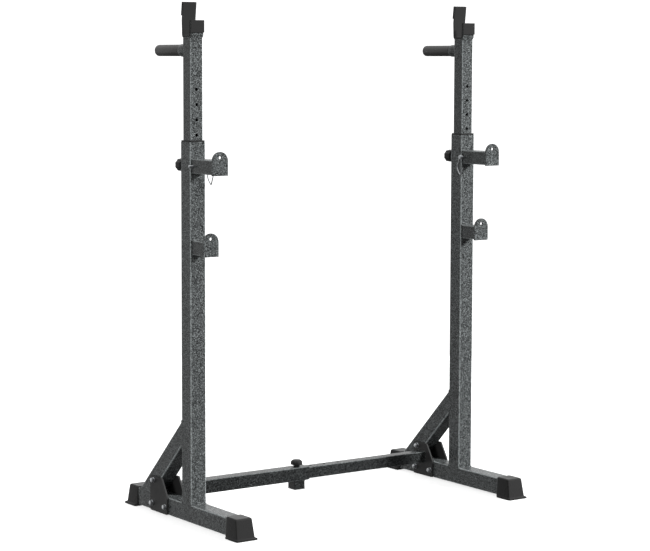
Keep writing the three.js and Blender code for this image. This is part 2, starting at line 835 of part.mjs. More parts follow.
// Coil spring along +Y, between the plunger's collar and the housing's end wall.
function plungerSpring() {
  const low = plungerCollarGap + plungerCollarThickness + seat + springWire / 2;
  const high = seat + housingLength - housingEndWall - seat - springWire / 2;
  const stepsPerCurl = 8;
  const steps = springCurls * stepsPerCurl;
  const points = [];
  for (let i = 0; i <= steps; i += 1) {
    const angle = (2 * Math.PI * i) / stepsPerCurl;
    points.push(new THREE.Vector3(
      (springDiameter / 2) * Math.cos(angle),
      low + ((high - low) * i) / steps,
      (springDiameter / 2) * Math.sin(angle),
    ));
  }
  return wire(new THREE.CatmullRomCurve3(points), springWire, steps, 6);
}

// A knob's blind hole for its pin or bolt.
function boredKnob(knob, diameter, depth) {
  return cut(knob, rod(diameter + 2 * seat, 2 * (depth + seat)));
}

// Knob of the spring plunger along +Z, hollow over the end of the housing.
function plungerKnob() {
  const outside = lobedKnob(knobDiameter, knobLength, knobLobes, knobLobeDepth, knobRounding);
  const hollow = knobSkirt + knobGap;
  const skirted = cut(outside, rod(housingDiameter + 2 * knobGap, 2 * hollow, 20));
  return boredKnob(skirted, plungerDiameter, hollow + knobPinDepth);
}

// One stand, upright and base. Side is -1 for the left stand and 1 for the right one.
function stand(side) {
  const label = side < 0 ? 'left' : 'right';
  const inner = -side;
  const headTurn = side < 0 ? Math.PI : 0;
  const pinTurn = side < 0 ? 0 : Math.PI;
  const group = new THREE.Group();
  group.position.set((side * standSpacing) / 2, uprightY, 0);
  const face = tubeSide / 2;
  const add = (name, geometry, look, x, y, z) => piece(group, `${label}_${name}`, geometry, look, x, y, z);

  add('base_tube', baseTube(), framePaint, 0, -baseFrontReach, baseLift + tubeSide / 2);
  add('upright_tube', uprightTube(), framePaint, 0, 0, baseTop + seat);
  add('brace_tube', braceTube(), framePaint, 0, 0, 0);
  add('front_foot', footBoot(), blackPlastic, 0, -footReachFront, 0);
  add('rear_foot', footBoot(), blackPlastic, 0, footReachRear, 0).rotation.z = Math.PI;
  add('upright_sleeve', uprightSleeve(), blackPlastic, 0, 0, uprightTop);

  const plate = gussetPlate();
  const outerPlateX = side > 0 ? gussetFace : -gussetFace - gussetThickness;
  const innerPlateX = side > 0 ? -gussetFace - gussetThickness : gussetFace;
  add('outer_gusset', plate, platePaint, outerPlateX, 0, 0);
  add('inner_gusset', plate.clone(), platePaint, innerPlateX, 0, 0);
  for (const place of boltPlaces) {
    add(`${place.name}_bolt`, gussetBolt(), zincPlate, 0, place.behind, place.above).rotation.z = headTurn;
  }

  const arms = [
    { name: 'upper_arm', reach: upperArmReach, height: latchHeight, pinned: true },
    { name: 'lower_arm', reach: lowerArmReach, height: latchHeight - armSpacing, pinned: false },
  ];
  for (const arm of arms) {
    add(`${arm.name}_tube`, armTube(arm.reach, arm.pinned), framePaint, 0, -face, arm.height);
    const plateY = -face - arm.reach + armPlateThickness;
    add(`${arm.name}_plate`, armPlate(), framePaint, 0, plateY, arm.height - armSide / 2 - armPlateDrop);
  }
  add('arm_stub', armStub(), framePaint, 0, -face, latchHeight);
  add('lock_pin', lockPin(), zincPlate, 0, -face - pinSetback, latchHeight).rotation.z = pinTurn;
  const clip = add('pin_wire', pinWire(), zincPlate, inner * wireReach, -face - pinSetback, latchHeight);
  clip.rotation.x = side < 0 ? leftWireSwing : 0;

  const postBottom = latchHeight - holesBelow * holePitch - postTail;
  add('post_tube', postTube(postBottom), framePaint, 0, 0, postBottom);
  add('bar_cup', barCup(), framePaint, 0, 0, postTop + seat);
  add('cup_liner', cupLiner(), blackPlastic, 0, 0, postTop + seat);
  add('handle_bar', handleBar(), framePaint, 0, postSide / 2 + seat, gripHeight);
  add('handle_grip', handleGrip(), gripRubber, 0, postSide / 2 + 2 * seat + collarLength, gripHeight);

  const knobY = face + seat + housingLength - knobSkirt;
  add('plunger_housing', plungerHousing(), framePaint, 0, face + seat, latchHeight);
  add('plunger_pin', plungerPin(), zincPlate, 0, face, latchHeight);
  add('plunger_spring', plungerSpring(), zincPlate, 0, face, latchHeight);
  add('plunger_knob', alongY(plungerKnob()), blackPlastic, 0, knobY, latchHeight);
  return group;
}

// Tube of the crossbar along +X, with holes through its top and bottom walls.
function barTube(width, wall, corner, length, holes) {
  const tools = holes.map((place) => rod(barBoltDiameter + 2 * holeSlip, width + 2 * overrun)
    .translate(place, 0, 0));
  return cut(alongX(squareTube(width, wall, corner, length)), ...tools);
}

// Plastic guide in the free end of the outer crossbar tube, with its flange at +X. Its frame is at that end.
function barSleeve() {
  const flangeSide = barSide - 2 * barSleeveInset;
  const collarSide = barSide - 2 * barWall - 2 * seat;
  const boreSide = collarSide - 2 * barSleeveWall;
  const flangeSection = roundedRectangle(flangeSide, flangeSide, barCorner);
  const collarSection = roundedRectangle(collarSide, collarSide, barCorner - barWall);
  const boreSection = roundedRectangle(boreSide, boreSide, barInnerCorner);
  const flange = drawOut(flangeSection, barSleeveFlange).translate(0, 0, seat);
  const collar = drawOut(collarSection, barSleeveDepth + 2 * seat).translate(0, 0, -barSleeveDepth);
  const bore = drawOut(boreSection, barSleeveDepth + barSleeveFlange + 2 * overrun)
    .translate(0, 0, -barSleeveDepth - overrun);
  return alongX(cut(join(flange, collar), bore));
}

// Crossbar: an outer tube on the left stand, an inner one on the right stand, a knob and its nut block.
function crossbar() {
  const group = new THREE.Group();
  group.position.set(0, uprightY + barBehind, barHeight);
  const end = standSpacing / 2 - gussetFace - gussetThickness - seat;
  const outerLength = barOuterEnd + end;
  const outer = barTube(barSide, barWall, barCorner, outerLength, [barBoltPlace + end]);
  piece(group, 'crossbar_outer_tube', outer, barPaint, -end, 0, 0);

  piece(group, 'crossbar_sleeve', barSleeve(), blackPlastic, barOuterEnd, 0, 0);

  const innerSide = barSide - 2 * (barWall + seat + barSleeveWall + slip);
  const holes = [];
  for (let i = -barHolesEachWay; i <= barHolesEachWay; i += 1) {
    holes.push(barBoltPlace + i * barPitch - barInnerEnd);
  }
  const sliding = barTube(innerSide, barInnerWall, barInnerCorner, end - barInnerEnd, holes);
  piece(group, 'crossbar_inner_tube', sliding, barPaint, barInnerEnd, 0, 0);

  const top = barSide / 2 + seat;
  const blockTop = -barSide / 2 - seat;
  const blockBottom = nutBlockBottom - barHeight;
  const blockSection = roundedRectangle(nutBlockWidth, nutBlockWidth, nutBlockCorner);
  const blockBody = drawOut(blockSection, blockTop - blockBottom);
  const blockBore = rod(barBoltDiameter + 2 * holeSlip, 2 * (blockTop - blockBottom) + 2 * overrun);
  piece(group, 'crossbar_nut_block', cut(blockBody, blockBore), barPaint, barBoltPlace, 0, blockBottom);

  const boltBottom = blockBottom + barBoltTail;
  const boltLength = top + barKnobBoltDepth - boltBottom;
  const bolt = rod(barBoltDiameter, boltLength).translate(0, 0, boltLength / 2);
  piece(group, 'crossbar_bolt', bolt, zincPlate, barBoltPlace, 0, boltBottom);

  const knob = lobedKnob(
    barKnobDiameter,
    barKnobHeight,
    barKnobLobes,
    barKnobLobeDepth,
    barKnobRounding,
    barKnobHubDiameter,
    barKnobHubLength,
  );
  const bored = boredKnob(knob, barBoltDiameter, barKnobBoltDepth);
  piece(group, 'crossbar_knob', bored, blackPlastic, barBoltPlace, 0, top);
  return group;
}

const squatStand = new THREE.Group();
squatStand.add(stand(-1), stand(1), crossbar());

export default squatStand;
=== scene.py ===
# %% [markdown]
# # A squat stand in Blender
#
# A squat stand holds a loaded barbell at shoulder height. This one has two posts that telescope out of
# square uprights. Each upright stands on its own braced base, and a crossbar near the floor keeps the two
# stands apart.
#
# The measured solids of the stand come in first and are never moved. They could be shown as they are, but
# solids from a drawing have perfectly sharp edges, and few faces where the real tube has a rolled corner. So
# each one gets either a softened copy or a finer surface worked out from the same sizes, and then its
# finish.

import json

import bmesh
import bpy
import numpy as np
from mathutils import Matrix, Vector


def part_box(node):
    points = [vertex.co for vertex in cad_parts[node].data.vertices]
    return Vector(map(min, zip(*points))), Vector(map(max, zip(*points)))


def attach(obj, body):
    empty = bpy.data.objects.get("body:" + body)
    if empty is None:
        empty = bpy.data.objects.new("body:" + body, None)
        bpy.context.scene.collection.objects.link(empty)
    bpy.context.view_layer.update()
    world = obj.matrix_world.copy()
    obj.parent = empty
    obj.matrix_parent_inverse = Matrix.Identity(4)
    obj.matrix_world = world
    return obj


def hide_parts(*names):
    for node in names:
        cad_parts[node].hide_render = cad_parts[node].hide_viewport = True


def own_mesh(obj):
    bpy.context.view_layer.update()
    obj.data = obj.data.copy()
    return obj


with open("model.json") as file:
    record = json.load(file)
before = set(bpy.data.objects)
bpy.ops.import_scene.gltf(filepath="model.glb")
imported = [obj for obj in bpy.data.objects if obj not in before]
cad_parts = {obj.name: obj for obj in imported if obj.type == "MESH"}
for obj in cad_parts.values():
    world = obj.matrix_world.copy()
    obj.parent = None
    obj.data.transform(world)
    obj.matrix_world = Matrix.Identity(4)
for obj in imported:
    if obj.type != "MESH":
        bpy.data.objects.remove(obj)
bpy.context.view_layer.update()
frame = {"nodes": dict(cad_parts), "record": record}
sides = {"left": -1.0, "right": 1.0}

# %% [markdown]
# ## Places and meshes
#
# Every place in this scene is read from the box of a solid, so the looks follow the solids if a size
# changes. A piece is a mesh object that sits at the origin with its place in its mesh, and it rides on a
# body: when the body moves, the piece moves with it. New surfaces are worked out as whole arrays and handed
# to the mesh in one go, which is much faster than adding one vertex at a time. A shell is one closed
# surface, given as its vertices and its faces, and a piece may hold several shells.

# %% Places, in metres
MM = 0.001
X, Y, Z = np.eye(3)


def box_of(node):
    """Lowest and highest corner of a solid, as two arrays."""
    low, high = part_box(node)
    return np.array(low), np.array(high)


def middle_of(node):
    """Middle of a solid's box."""
    low, high = box_of(node)
    return (low + high) / 2


def size_of(node):
    """Sides of a solid's box, in millimetres."""
    low, high = box_of(node)
    return (high - low) / MM


slot_of_node = {part["node"]: part["material_slot"] for part in frame["record"]["subparts"]}
body_of_node = {
    node: body for body, nodes in frame["record"]["behaviour"]["bodies"].items() for node in nodes
}


# %% From shells to a piece
def grid_faces(rows, columns, closed_rows=False):
    """Quads between neighbours on a grid whose columns run round.

    A quad's corners are (i, j), (i, j + 1), (i + 1, j + 1) and (i + 1, j). With closed rows, the last row
    joins the first one too.
    """
    i = np.arange(rows if closed_rows else rows - 1)[:, None]
    j = np.arange(columns)[None, :]
    i_next, j_next = (i + 1) % rows, (j + 1) % columns
    corners = [i * columns + j, i * columns + j_next, i_next * columns + j_next, i_next * columns + j]
    return np.stack(corners, axis=-1).reshape(-1, 4)


def mesh_object(name, shells, sharp=40):
    """A mesh object from closed shells, with doubled vertices merged and faces turned outwards.

    It is shaded smooth, apart from edges that turn by more than the sharp angle, in degrees.
    """
    counts = np.cumsum([0] + [len(vertices) for vertices, _ in shells])
    vertices = np.concatenate([vertices for vertices, _ in shells])
    faces = np.concatenate([faces + count for (_, faces), count in zip(shells, counts)])
    data = bpy.data.meshes.new(name)
    data.from_pydata(vertices.tolist(), [], faces.tolist())
    mesh = bmesh.new()
    mesh.from_mesh(data)
    bmesh.ops.remove_doubles(mesh, verts=mesh.verts, dist=0.001 * MM)
    bmesh.ops.recalc_face_normals(mesh, faces=mesh.faces)
    mesh.to_mesh(data)
    mesh.free()
    data.polygons.foreach_set("use_smooth", np.full(len(data.polygons), True))
    data.set_sharp_from_angle(angle=np.radians(sharp))
    piece = bpy.data.objects.new(name, data)
    bpy.context.scene.collection.objects.link(piece)
    return piece


# %% [markdown]
# ## Turned, lobed and drawn surfaces
#
# Grips, pins and bolts are made on a lathe, and knobs are moulded with lobes that fingers can hold. Both are
# one formula: a profile that is carried once round an axis, with a radius that may wave on the way. Wires
# and springs are a circle that is carried along a path. Blender's own primitives could be joined for these,
# but a worked-out profile gives every rounded edge its real radius.

# %% Directions across an axis
def across(axis):
    """Two unit vectors square to an axis and to each other. For Y and Z the first one is X."""
    first = np.cross(axis, Z) if abs(axis[2]) < 0.9 else np.cross(Y, axis)
    first = first / np.linalg.norm(first)
    return first, np.cross(axis, first)


# %% Profiles with rounded corners
def eased(corners, steps=5):
    """A profile from corners of (radius, place, rounding), in millimetres, with arcs at its inner corners.

    The arc at a corner C is ((1 - t)^2 A + 2 w t (1 - t) C + t^2 B) / ((1 - t)^2 + 2 w t (1 - t) + t^2). A
    and B lie one rounding away from C on its two sides, and w is the sine of half the angle between the
    sides.
    """
    corners = np.asarray(corners, float)
    places, roundings = corners[:, :2], corners[1:-1, 2]
    t = np.linspace(0, 1, steps)[:, None]
    points = [places[:1]]
    for before, corner, after, rounding in zip(places[:-2], places[1:-1], places[2:], roundings):
        if rounding == 0:
            points.append(corner[None])
            continue
        back = (before - corner) / np.linalg.norm(before - corner)
        on = (after - corner) / np.linalg.norm(after - corner)
        weight = np.sqrt((1 - back @ on) / 2)
        shares = [(1 - t) ** 2, 2 * weight * t * (1 - t), t**2]
        first, last = corner + rounding * back, corner + rounding * on
        arc = shares[0] * first + shares[1] * corner + shares[2] * last
        points.append(arc / sum(shares))
    points.append(places[-1:])
    return np.concatenate(points)


# %% A profile carried round an axis
def turned(profile, centre, axis, steps=48, lobes=0, depth=0.0, fade=(0.0, 1.0)):
    """A shell from a profile of (radius, place along the axis), in millimetres, carried once round the axis.

    Point (i, j) = centre + place_i * axis + r_ij * (cos a_j * first + sin a_j * second), with a_j going once
    round and r_ij = radius_i - share_i * depth * (1 - cos(lobes * a_j)) / 2. The share of the lobes that a
    point takes grows from 0 to 1 between the two radii of the fade.
    """
    first, second = across(axis)
    radius, place = np.asarray(profile, float).T
    share = np.clip((radius - fade[0]) / (fade[1] - fade[0]), 0, 1)
    angle = np.linspace(0, 2 * np.pi, steps, endpoint=False)
    wave = depth * (1 - np.cos(lobes * angle)) / 2
    reach = (radius[:, None] - share[:, None] * wave) * MM
    ring = np.cos(angle)[:, None] * first + np.sin(angle)[:, None] * second
    points = centre + reach[..., None] * ring[None] + place[:, None, None] * MM * axis
    return points.reshape(-1, 3), grid_faces(len(radius), steps)


# %% A circle carried along a path
def drawn_wire(path, sideways, radius, steps=12):
    """A shell round a path, whose radius may change along it, in metres.

    At each point the tangent is the difference of the neighbours, and the sideways direction is made square
    to it. Point (i, j) = path_i + radius_i * (cos a_j * side_i + sin a_j * over_i). The wire starts and ends
    with a ring of radius zero.
    """
    tangent = np.gradient(path, axis=0)
    tangent /= np.linalg.norm(tangent, axis=1, keepdims=True)
    side = np.broadcast_to(sideways, path.shape)
    side = side - tangent * (side * tangent).sum(1, keepdims=True)
    side /= np.linalg.norm(side, axis=1, keepdims=True)
    over = np.cross(tangent, side)
    angle = np.linspace(0, 2 * np.pi, steps, endpoint=False)
    ring = np.cos(angle)[None, :, None] * side[:, None] + np.sin(angle)[None, :, None] * over[:, None]
    points = path[:, None] + np.broadcast_to(radius, len(path))[:, None, None] * ring
    ends = [np.repeat(path[[end], None], steps, 1) for end in (0, -1)]
    points = np.concatenate([ends[0], points, ends[1]])
    return points.reshape(-1, 3), grid_faces(len(points), steps)


def smooth_path(corners, steps, tension):
    """A smooth curve through points, as a Catmull-Rom spline.

    With the four Hermite weights h0 to h3, a point between P1 and P2 is h0 P1 + h1 P2 + tension * (h2 (P2 -
    P0) + h3 (P3 - P1)).
    """
    corners = np.asarray(corners, float)
    padded = np.concatenate([2 * corners[:1] - corners[1:2], corners, 2 * corners[-1:] - corners[-2:-1]])
    t = np.linspace(0, 1, steps, endpoint=False)[None, :, None]
    p0, p1, p2, p3 = (padded[i : len(corners) - 1 + i, None] for i in range(4))
    inside = (2 * t**3 - 3 * t**2 + 1) * p1 + (3 * t**2 - 2 * t**3) * p2
    slopes = (t**3 - 2 * t**2 + t) * (p2 - p0) + (t**3 - t**2) * (p3 - p1)
    return np.concatenate([(inside + tension * slopes).reshape(-1, 3), corners[-1:]])


# %% [markdown]
# ## Hammertone paint
#
# The frame is sprayed with a grey hammertone paint. As it dries, aluminium flakes drift together into small
# cells with dark lines between them, so the surface looks like beaten metal. It could be painted as an
# image, but a picture has to be unwrapped onto every tube. A pattern worked out from the place on the object
# needs no unwrapping, never repeats, and stays fixed to a piece when it moves. Each cell of about 2 mm gets
# a tone of its own, darker towards its rim, and the same cells set the gloss and a very low relief. On the
# rolled corners of a tube an attribute of the mesh makes the cells lighter: a painted highlight for the
# bright line that the corners catch from the light. The crossbar has a darker copy of the paint.

# %% Node helpers
# A mix node's sockets for numbers, vectors and colours share their names, so the colours are found by place
FIRST_COLOUR, SECOND_COLOUR, MIXED_COLOUR = 6, 7, 2


def new_finish(name, colour, roughness, metallic, specular=0.5):
    """A material with its shader's own values set, with its node tree and its shader."""
    finish = bpy.data.materials.new(name)
    finish.use_nodes = True
    shader = finish.node_tree.nodes["Principled BSDF"]
    shader.inputs["Base Color"].default_value = (*colour, 1.0)
    shader.inputs["Roughness"].default_value = roughness
    shader.inputs["Metallic"].default_value = metallic
    shader.inputs["Specular IOR Level"].default_value = specular
    return finish, finish.node_tree, shader


def pattern(tree, kind, vector, **inputs):
    """A texture node that reads a vector, with some of its inputs set."""
    node = tree.nodes.new(kind)
    for name, value in inputs.items():
        node.inputs[name.title()].default_value = value
    tree.links.new(vector, node.inputs["Vector"])
    return node


def toned(tree, source, stops):
    """A colour ramp from a value to stops of (place, colour)."""
    ramp = tree.nodes.new("ShaderNodeValToRGB")
    elements = ramp.color_ramp.elements
    for _ in stops[2:]:
        elements.new(0.5)
    for element, (place, colour) in zip(elements, stops):
        element.position = place
        element.color = (*colour, 1.0)
    tree.links.new(source, ramp.inputs["Fac"])
    return ramp.outputs["Color"]


def blended(tree, kind, first, second, factor=None):
    """Two colours put together by one of Blender's blend kinds, fully or by a factor."""
    mix = tree.nodes.new("ShaderNodeMix")
    mix.data_type = "RGBA"
    mix.blend_type = kind
    mix.inputs["Factor"].default_value = 1.0
    tree.links.new(first, mix.inputs[FIRST_COLOUR])
    if isinstance(second, tuple):
        mix.inputs[SECOND_COLOUR].default_value = (*second, 1.0)
    else:
        tree.links.new(second, mix.inputs[SECOND_COLOUR])
    if factor is not None:
        tree.links.new(factor, mix.inputs["Factor"])
    return mix.outputs[MIXED_COLOUR]


def relief(tree, shader, height, distance, strength):
    """A bump from a height pattern, in metres."""
    bump = tree.nodes.new("ShaderNodeBump")
    bump.inputs["Distance"].default_value = distance
    bump.inputs["Strength"].default_value = strength
    tree.links.new(height, bump.inputs["Height"])
    tree.links.new(bump.outputs["Normal"], shader.inputs["Normal"])


def grey(value, tint=(1.0, 1.0, 1.0)):
    """A neutral or slightly tinted grey."""
    return tuple(value * channel for channel in tint)


# %% Hammertone
PAINT_TINT = (0.93, 1.0, 1.01)
CELLS_PER_METRE = 520.0
DRIFT_PER_METRE = 300.0
DRIFT = 3.0 * MM
CELL_TONES = (0.06, 0.4, 1.15)
CORNER_HIGHLIGHT_BOOST = 2.0
CORNER_HIGHLIGHT_SHARE = "corner_highlight_share"


def hammertone(name, tone):
    """Grey paint with flakes drawn into cells. The tone is the colour of its brightest cells.

    The place on the object is pushed about by a soft noise, then read by a cell pattern, which gives a
    chance number for each cell and the distance from its middle. An attribute of the mesh says where the
    rolled corners take lighter cells, a painted highlight for the light line that those corners catch.
    """
    finish, tree, shader = new_finish(name, grey(tone / 2), 0.3, 0.0, 0.35)
    place = tree.nodes.new("ShaderNodeTexCoord").outputs["Object"]
    drift = pattern(tree, "ShaderNodeTexNoise", place, scale=DRIFT_PER_METRE, detail=2.0).outputs["Color"]
    push = tree.nodes.new("ShaderNodeVectorMath")
    push.operation = "MULTIPLY_ADD"
    push.inputs[1].default_value = (DRIFT,) * 3
    tree.links.new(drift, push.inputs[0])
    tree.links.new(place, push.inputs[2])
    cells = pattern(tree, "ShaderNodeTexVoronoi", push.outputs[0], scale=CELLS_PER_METRE)
    chance = tree.nodes.new("ShaderNodeSeparateColor")
    tree.links.new(cells.outputs["Color"], chance.inputs["Color"])
    low, middle, high = (grey(share * tone, PAINT_TINT) for share in CELL_TONES)
    cell_tone = toned(tree, chance.outputs["Red"], [(0.0, low), (0.6, middle), (1.0, high)])
    rim = toned(tree, cells.outputs["Distance"], [(0.3, grey(1.0)), (0.75, grey(0.25))])
    paint = blended(tree, "MULTIPLY", cell_tone, rim)
    # Painted highlight: on rolled corners the cells are lightened up to twice the brightest tone.
    corner_highlight_tone = toned(tree, chance.outputs["Red"], [(0.0, middle), (1.0, grey(CORNER_HIGHLIGHT_BOOST, high))])
    corner = tree.nodes.new("ShaderNodeAttribute")
    corner.attribute_name = CORNER_HIGHLIGHT_SHARE
    paint = blended(tree, "MIX", paint, corner_highlight_tone, corner.outputs["Fac"])
    tree.links.new(paint, shader.inputs["Base Color"])
    gloss = toned(tree, chance.outputs["Green"], [(0.0, grey(0.18)), (1.0, grey(0.36))])
    tree.links.new(gloss, shader.inputs["Roughness"])
    relief(tree, shader, cells.outputs["Distance"], -0.15 * MM, 0.6)
    return finish


# %% [markdown]
# ## Plates, plastic, rubber and zinc
#
# The gusset plates have a smooth, darker satin paint. Boots, guides, liners and knobs are moulded in black
# plastic, which shows a fine grain from its mould. The grips are a softer and duller rubber. Bolts, pins and
# wire are zinc plated: bright, with a slightly cloudy bluish skin. All of these are one colour to the eye,
# so only gloss and a very fine relief vary, and that is what makes a plain surface look real in a close
# view.

# %% Plain finishes with a fine grain
CLOUDS_PER_METRE = 22.0
GRAIN_CONTRAST = 0.16


def grained(name, colour, roughness, metallic, grain, depth, specular=0.5, spread=0.07):
    """A plain finish. A fine noise gives colour and relief, and a broad one makes the gloss uneven."""
    finish, tree, shader = new_finish(name, colour, roughness, metallic, specular)
    place = tree.nodes.new("ShaderNodeTexCoord").outputs["Object"]
    fine = pattern(tree, "ShaderNodeTexNoise", place, scale=grain, detail=4.0).outputs["Fac"]
    broad = pattern(tree, "ShaderNodeTexNoise", place, scale=CLOUDS_PER_METRE, detail=3.0).outputs["Fac"]
    gloss = [(0.3, grey(max(roughness - spread, 0.0))), (0.7, grey(roughness + spread))]
    tree.links.new(toned(tree, broad, gloss), shader.inputs["Roughness"])
    low = grey(1 - GRAIN_CONTRAST, colour)
    high = grey(1 + GRAIN_CONTRAST, colour)
    tree.links.new(toned(tree, fine, [(0.3, low), (0.7, high)]), shader.inputs["Base Color"])
    relief(tree, shader, fine, depth, 0.5)
    return finish


finish_of_slot = {
    "frame_paint": hammertone("hammertone_paint", 0.17),
    "crossbar_paint": hammertone("dark_hammertone_paint", 0.058),
    "black_paint": grained("satin_plate_paint", grey(0.023), 0.45, 0.0, 600.0, 0.05 * MM, 0.25),
    "black_plastic": grained("moulded_black_plastic", grey(0.016), 0.3, 0.0, 1500.0, 0.02 * MM, 0.15, 0.05),
    "grip_rubber": grained("grip_rubber", grey(0.02), 0.4, 0.0, 1100.0, 0.05 * MM, 0.8),
    "zinc": grained("zinc_plate", (0.66, 0.68, 0.70), 0.36, 1.0, 500.0, 0.03 * MM),
}
print("finishes:", ", ".join(finish_of_slot))


# %% Seating a piece on the stand
def seated(piece, node):
    """Gives a piece the finish and the body of the solid that it stands for."""
    slot = slot_of_node[node]
    piece.data.materials.clear()
    piece.data.materials.append(finish_of_slot[slot])
    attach(piece, body_of_node[node])
    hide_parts(node)
    return piece


def dressed(node, *shells):
    """A piece made of shells that stands for a solid."""
    return seated(mesh_object(node + "_dressed", shells), node)


# %% [markdown]
# ## Softened copies of tubes and plates
#
# A sawn tube or a punched plate never has a knife edge: the saw, the tumbler and the thick paint leave a
# radius of about half a millimetre, and that radius is what catches the light. The edges could be modelled
# by hand, but a bevel does it to every sharp edge at once. The copy's corners are merged first, because the
# solids come as loose triangles, and faces that lie in one plane are joined so that the bevel finds only
# real edges. Normals weighted by face area then keep the flats flat and let the rolled corners look round.

# %% Where a tube's rolled corners are
def mark_highlight_corners(data, first, second):
    """Writes how far each face corner is on a rolled corner of a square tube with two flat directions.

    With the share s = 2 |n . first| |n . second|, where n is the vertex normal with its part along the tube
    left out, the value is 1.3 s - 0.3, and at least 0. It is 1 in the middle of the bend, 0 at its ends, and
    0 on the tube's flat faces and cut ends. The hammertone lightens its cells by it, a painted highlight.
    """
    flat_axes = np.stack([first, second, np.cross(first, second)])
    face_normal = np.zeros(3 * len(data.polygons))
    data.polygons.foreach_get("normal", face_normal)
    sides_on = np.abs(face_normal.reshape(-1, 3) @ flat_axes.T)
    loops = np.zeros(len(data.polygons), int)
    data.polygons.foreach_get("loop_total", loops)
    vertex_of_loop = np.zeros(len(data.loops), int)
    data.loops.foreach_get("vertex_index", vertex_of_loop)
    vertex_normal = np.zeros(3 * len(data.vertices))
    data.vertices.foreach_get("normal", vertex_normal)
    across_bend = np.abs(vertex_normal.reshape(-1, 3) @ flat_axes[:2].T)
    across_bend /= np.maximum(np.linalg.norm(across_bend, axis=1, keepdims=True), 0.1)
    share = (2 * across_bend[:, 0] * across_bend[:, 1])[vertex_of_loop]
    bent = (sides_on.max(1) < 0.999) & (sides_on[:, 2] < 0.1)
    share = np.where(np.repeat(bent, loops), np.clip(share * 1.3 - 0.3, 0, 1), 0.0)
    data.attributes.new(CORNER_HIGHLIGHT_SHARE, "FLOAT", "CORNER").data.foreach_set("value", share)


# %% Softened copies
def softened(node, radius, flats=None):
    """A copy of a solid whose sharp edges are rounded by a radius in millimetres."""
    mesh = bmesh.new()
    mesh.from_mesh(frame["nodes"][node].data)
    bmesh.ops.remove_doubles(mesh, verts=mesh.verts, dist=0.005 * MM)
    bmesh.ops.dissolve_limit(mesh, angle_limit=np.radians(0.5), verts=mesh.verts, edges=mesh.edges)
    data = bpy.data.meshes.new(node + "_dressed")
    mesh.to_mesh(data)
    mesh.free()
    if flats is not None:
        mark_highlight_corners(data, *flats)
    data.polygons.foreach_set("use_smooth", np.full(len(data.polygons), True))
    piece = bpy.data.objects.new(node + "_dressed", data)
    bpy.context.scene.collection.objects.link(piece)
    bevel = piece.modifiers.new("rounded edges", "BEVEL")
    bevel.width = radius * MM
    bevel.segments = 2
    bevel.limit_method = "ANGLE"
    bevel.angle_limit = np.radians(50)
    bevel.miter_outer = "MITER_ARC"
    weighted = piece.modifiers.new("flat faces stay flat", "WEIGHTED_NORMAL")
    weighted.weight = 90
    return seated(piece, node)


soft_edges = {
    "base_tube": 0.5,
    "upright_tube": 0.5,
    "brace_tube": 0.5,
    "front_foot": 1.0,
    "rear_foot": 1.0,
    "upright_sleeve": 0.6,
    "outer_gusset": 0.7,
    "inner_gusset": 0.7,
    "upper_arm_tube": 0.4,
    "upper_arm_plate": 0.7,
    "lower_arm_tube": 0.4,
    "lower_arm_plate": 0.7,
    "arm_stub": 0.4,
    "post_tube": 0.4,
    "bar_cup": 0.7,
    "cup_liner": 0.6,
}
flats_of_tube = {
    "base_tube": (X, Z),
    "upright_tube": (X, Y),
    "brace_tube": (X, (Y + Z) / np.sqrt(2)),
    "upper_arm_tube": (X, Z),
    "lower_arm_tube": (X, Z),
    "post_tube": (X, Y),
}
for side in sides:
    for part, radius in soft_edges.items():
        softened(f"{side}_{part}", radius, flats_of_tube.get(part))
softened("crossbar_outer_tube", 0.4, (Y, Z))
softened("crossbar_inner_tube", 0.4, (Y, Z))
softened("crossbar_sleeve", 0.5)
softened("crossbar_nut_block", 0.8)
print("softened copies:", 2 * len(soft_edges) + 4, "with lighter corners:", 2 * len(flats_of_tube) + 2)

# %% [markdown]
# ## Gusset bolts
#
# Each gusset plate is held by three bolts: a hexagon head with a washer on the outer plate, and a washer and
# a nut on the inner one, where the last threads stick out. A hexagon's corners are cut by a cone, which
# leaves the curved lines that everyone knows from a bolt head. It could be cut with a boolean, but the
# cone's height over each corner is known exactly, so the surface is written down directly: at every angle
# the side of the hexagon rises to the cone, and the cone runs to the top.

# %% Hexagons and threads
HEX_FLATS = 13.0
CONE_SLOPE = np.tan(np.radians(30))
THREAD_PITCH = 1.25
THREAD_DEPTH = 0.55


def hexagon_nut(bottom, top, centre, axis, steps=72):
    """A hexagon with its corners cut by cones, between two places along an axis, in millimetres.

    At the angle a, a side is half the width across flats, divided by the cosine of the angle from the middle
    of its flat. Each end is a round face of a little less than the flats. The cone from it falls by tan 30
    for each millimetre outwards, and so it meets the corners lower than the flats.
    """
    first, second = across(axis)
    angle = np.linspace(0, 2 * np.pi, steps, endpoint=False)
    from_flat = (angle + np.pi / 6) % (np.pi / 3) - np.pi / 6
    wide = HEX_FLATS / 2 / np.cos(from_flat)
    face = np.full(steps, HEX_FLATS / 2 - 0.25)
    drop = (wide - face) * CONE_SLOPE
    rows = [
        (0 * wide, bottom + 0 * wide),
        (face, bottom + 0 * wide),
        (wide, bottom + drop),
        (wide, top - drop),
        (face, top + 0 * wide),
        (0 * wide, top + 0 * wide),
    ]
    radius, place = (np.stack(values) * MM for values in zip(*rows))
    ring = np.cos(angle)[:, None] * first + np.sin(angle)[:, None] * second
    points = centre + radius[..., None] * ring[None] + place[..., None] * axis
    return points.reshape(-1, 3), grid_faces(len(rows), steps)


